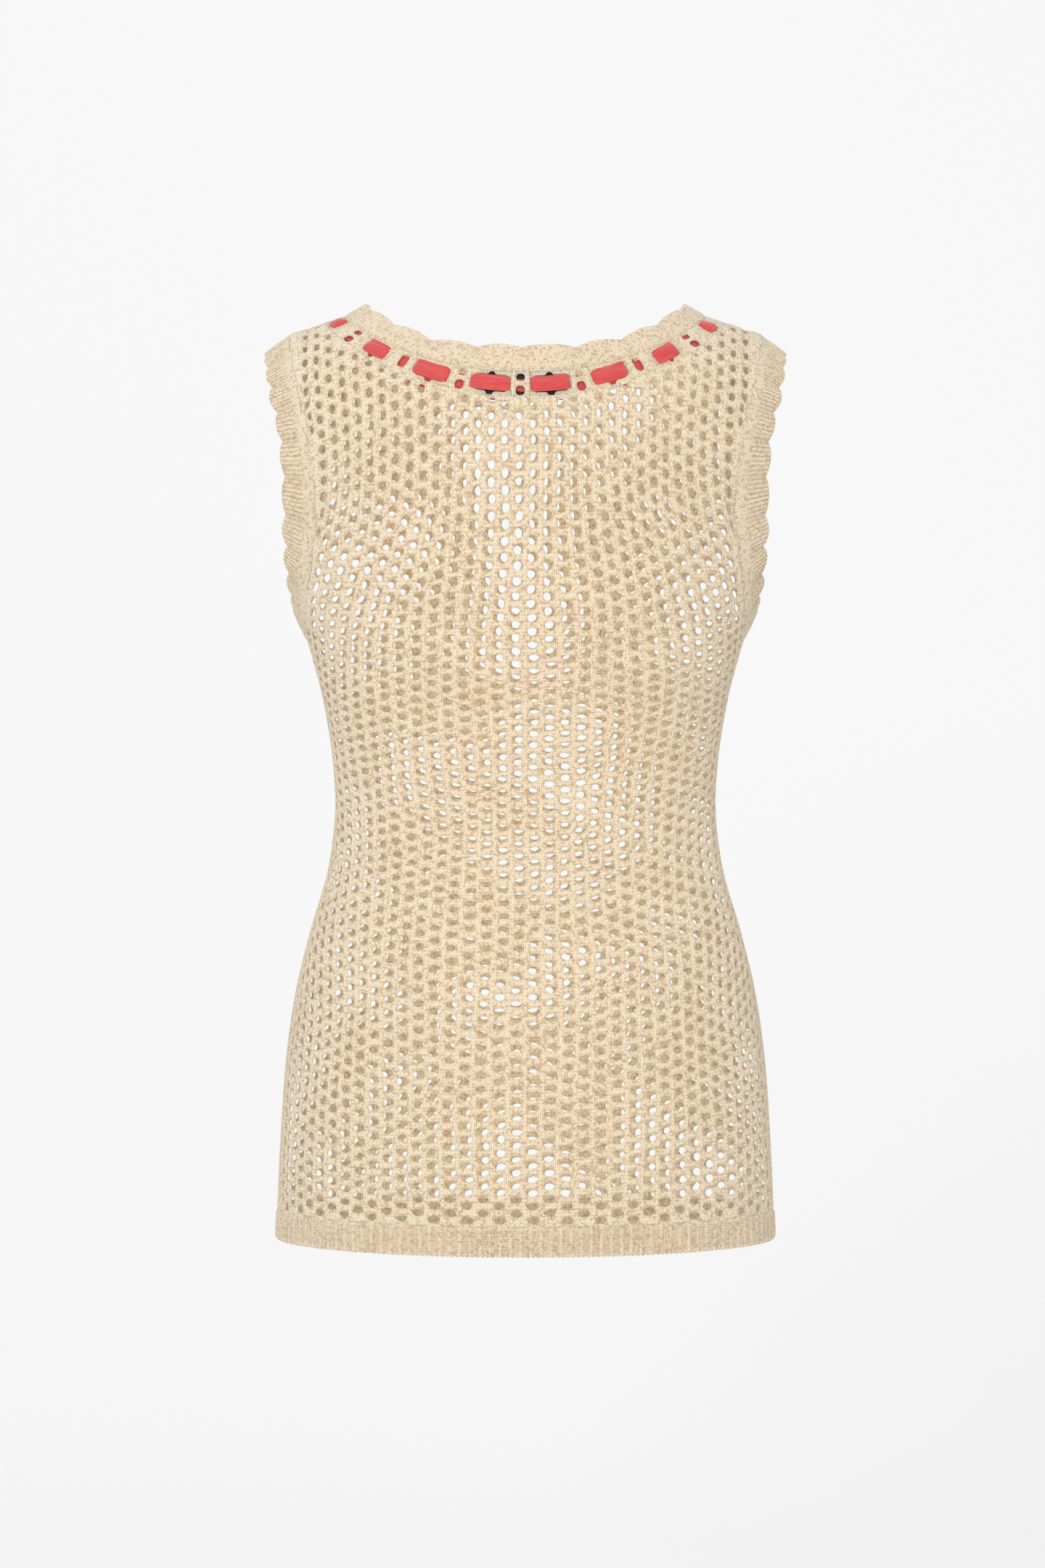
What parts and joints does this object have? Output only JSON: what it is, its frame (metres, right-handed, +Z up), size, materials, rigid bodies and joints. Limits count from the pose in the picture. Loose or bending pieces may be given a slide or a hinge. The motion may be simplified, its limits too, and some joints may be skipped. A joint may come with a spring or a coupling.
{
  "type": "knit tank top",
  "caption": "Sleeveless open-mesh knit top with scalloped neck and armhole trims, a ribbed hem and a ribbon threaded round the neck, in its worn shape.",
  "frame": {"origin": "midway between the shoulders, at the height where the cloth rests on them", "axes": "+Z up out of the neck, +X to the wearer's right, -Y out of the back and +Y out of the front"},
  "size_m": [0.3496, 0.2233, 0.6306],
  "materials": {
    "mesh_knit": "matte",
    "trim_knit": "matte",
    "red_ribbon": "satin",
    "black_label": "matte"
  },
  "bodies": {
    "root": {"back_panel": "mesh_knit", "front_panel": "mesh_knit", "hem_band": "trim_knit", "neck_trim": "trim_knit", "right_arm_trim": "trim_knit", "left_arm_trim": "trim_knit", "eyelet_row": "mesh_knit", "ribbon": "red_ribbon", "neck_label": "black_label"}
  },
  "joints": []
}
